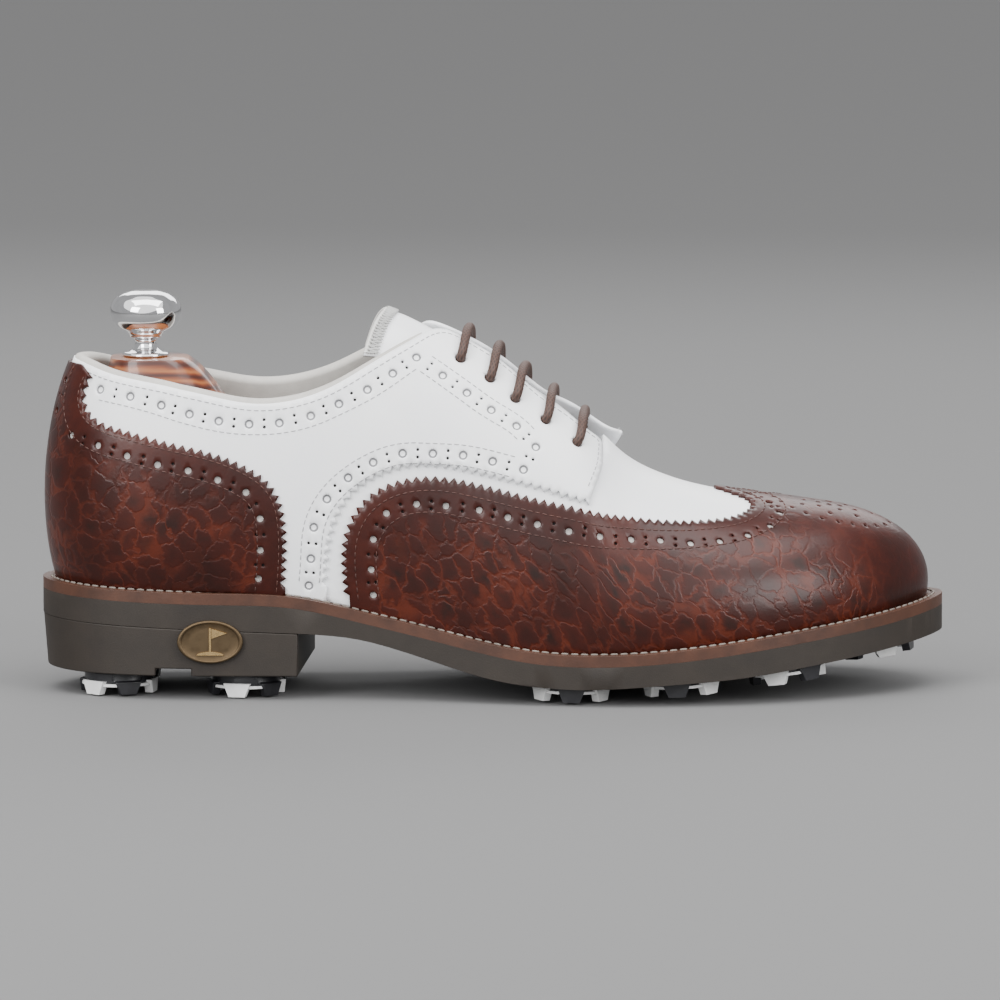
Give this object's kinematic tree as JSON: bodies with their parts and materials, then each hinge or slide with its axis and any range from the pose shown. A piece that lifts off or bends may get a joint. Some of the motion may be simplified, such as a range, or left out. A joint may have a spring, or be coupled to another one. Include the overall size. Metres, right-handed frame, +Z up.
{
  "type": "golf shoe",
  "caption": "Right golf brogue with wing cap, straight lacing, welted rubber sole on twist-lock cleats, and a sprung cedar shoe tree inside.",
  "frame": {"origin": "on the ground under the middle of the shoe's bounding box", "axes": "+X to the toe, +Y to the inner (medial) side of the foot, +Z up"},
  "size_m": [0.304, 0.1061, 0.134],
  "materials": {
    "white_leather": "smooth full-grain, satin",
    "brown_leather": "embossed in a scale pattern, glossy",
    "lining": "unfinished, matt",
    "board": "fibre board",
    "cork": "granulated cork",
    "foam": "padding",
    "steel": "brushed",
    "sole_rubber": "moulded, semi-matt",
    "welt": "stitched strip, waxed",
    "brass": "polished",
    "lace": "round woven cotton, waxed",
    "cedar": "cedar, gloss varnish",
    "chrome": "polished",
    "cleat_dark": "moulded polyurethane",
    "cleat_pale": "moulded polyurethane"
  },
  "bodies": {
    "shoe": {"badge": "brass", "collar_padding": "foam", "cork_filler": "cork", "heel_block": "sole_rubber", "heel_counter_cover": "brown_leather", "heel_nails": "steel", "heel_stiffener": "board", "insole_board": "board", "lace": "lace", "outsole": "sole_rubber", "quarter_lateral": "white_leather", "quarter_lining": "lining", "quarter_medial": "white_leather", "receptacles": "cleat_dark", "shank": "steel", "sock_liner": "lining", "toe_puff": "board", "tongue": "white_leather", "tree_forepart": "cedar", "tree_pin": "steel", "vamp": "white_leather", "vamp_lining": "lining", "welt": "welt", "wing_cap": "brown_leather"},
    "tree_arm": {"tree_eye": "steel", "tree_tube": "steel", "tree_spring": "steel"},
    "tree_back": {"tree_rod": "steel", "tree_heel": "cedar", "knob": "chrome", "knob_screw": "steel"},
    "cleat_fore_lateral_1": {"cleat_fore_lateral_1_core": "cleat_dark", "cleat_fore_lateral_1_legs": "cleat_pale"},
    "cleat_fore_lateral_2": {"cleat_fore_lateral_2_core": "cleat_dark", "cleat_fore_lateral_2_legs": "cleat_pale"},
    "cleat_fore_lateral_3": {"cleat_fore_lateral_3_core": "cleat_dark", "cleat_fore_lateral_3_legs": "cleat_pale"},
    "cleat_fore_medial_1": {"cleat_fore_medial_1_core": "cleat_dark", "cleat_fore_medial_1_legs": "cleat_pale"},
    "cleat_fore_medial_2": {"cleat_fore_medial_2_core": "cleat_dark", "cleat_fore_medial_2_legs": "cleat_pale"},
    "cleat_fore_medial_3": {"cleat_fore_medial_3_core": "cleat_dark", "cleat_fore_medial_3_legs": "cleat_pale"},
    "cleat_heel_lateral_front": {"cleat_heel_lateral_front_core": "cleat_dark", "cleat_heel_lateral_front_legs": "cleat_pale"},
    "cleat_heel_lateral_rear": {"cleat_heel_lateral_rear_core": "cleat_dark", "cleat_heel_lateral_rear_legs": "cleat_pale"},
    "cleat_heel_medial_front": {"cleat_heel_medial_front_core": "cleat_dark", "cleat_heel_medial_front_legs": "cleat_pale"},
    "cleat_heel_medial_rear": {"cleat_heel_medial_rear_core": "cleat_dark", "cleat_heel_medial_rear_legs": "cleat_pale"},
    "cleat_toe": {"cleat_toe_core": "cleat_dark", "cleat_toe_legs": "cleat_pale"}
  },
  "joints": [
    {"name": "tree_swing", "type": "hinge", "parent": "shoe", "child": "tree_arm", "pos_m": [0.018, 0, 0.052], "axis": [0, 1, 0], "range_deg": [0, 30]},
    {"name": "tree_slide", "type": "slide", "parent": "tree_arm", "child": "tree_back", "axis": [1, 0, 0], "range_m": [0, 0.015], "stiffness_N_per_m": 1500, "springref_m": -0.005, "deforming": ["tree_spring"]},
    {"name": "twist_fore_lateral_1", "type": "hinge", "parent": "shoe", "child": "cleat_fore_lateral_1", "pos_m": [0.026, -0.035, 0.00522], "axis": [0.0157, 0, 0.9999], "range_deg": [0, 60]},
    {"name": "twist_fore_lateral_2", "type": "hinge", "parent": "shoe", "child": "cleat_fore_lateral_2", "pos_m": [0.063, -0.0355, 0.00717], "axis": [-0.0652, 0, 0.9979], "range_deg": [0, 60]},
    {"name": "twist_fore_lateral_3", "type": "hinge", "parent": "shoe", "child": "cleat_fore_lateral_3", "pos_m": [0.098, -0.0275, 0.01054], "axis": [-0.1359, 0, 0.9907], "range_deg": [0, 60]},
    {"name": "twist_fore_medial_1", "type": "hinge", "parent": "shoe", "child": "cleat_fore_medial_1", "pos_m": [0.034, 0.0335, 0.0053], "axis": [-0.0338, 0, 0.9994], "range_deg": [0, 60]},
    {"name": "twist_fore_medial_2", "type": "hinge", "parent": "shoe", "child": "cleat_fore_medial_2", "pos_m": [0.07, 0.036, 0.00763], "axis": [-0.0691, 0, 0.9976], "range_deg": [0, 60]},
    {"name": "twist_fore_medial_3", "type": "hinge", "parent": "shoe", "child": "cleat_fore_medial_3", "pos_m": [0.103, 0.03, 0.01124], "axis": [-0.1382, 0, 0.9904], "range_deg": [0, 60]},
    {"name": "twist_heel_lateral_front", "type": "hinge", "parent": "shoe", "child": "cleat_heel_lateral_front", "pos_m": [-0.083, -0.02, 0.0076], "axis": [0, 0, 1], "range_deg": [0, 60]},
    {"name": "twist_heel_lateral_rear", "type": "hinge", "parent": "shoe", "child": "cleat_heel_lateral_rear", "pos_m": [-0.126, -0.0155, 0.0076], "axis": [0, 0, 1], "range_deg": [0, 60]},
    {"name": "twist_heel_medial_front", "type": "hinge", "parent": "shoe", "child": "cleat_heel_medial_front", "pos_m": [-0.083, 0.017, 0.0076], "axis": [0, 0, 1], "range_deg": [0, 60]},
    {"name": "twist_heel_medial_rear", "type": "hinge", "parent": "shoe", "child": "cleat_heel_medial_rear", "pos_m": [-0.126, 0.0145, 0.0076], "axis": [0, 0, 1], "range_deg": [0, 60]},
    {"name": "twist_toe", "type": "hinge", "parent": "shoe", "child": "cleat_toe", "pos_m": [0.129, 0.005, 0.01483], "axis": [-0.1421, 0, 0.9899], "range_deg": [0, 60]}
  ]
}
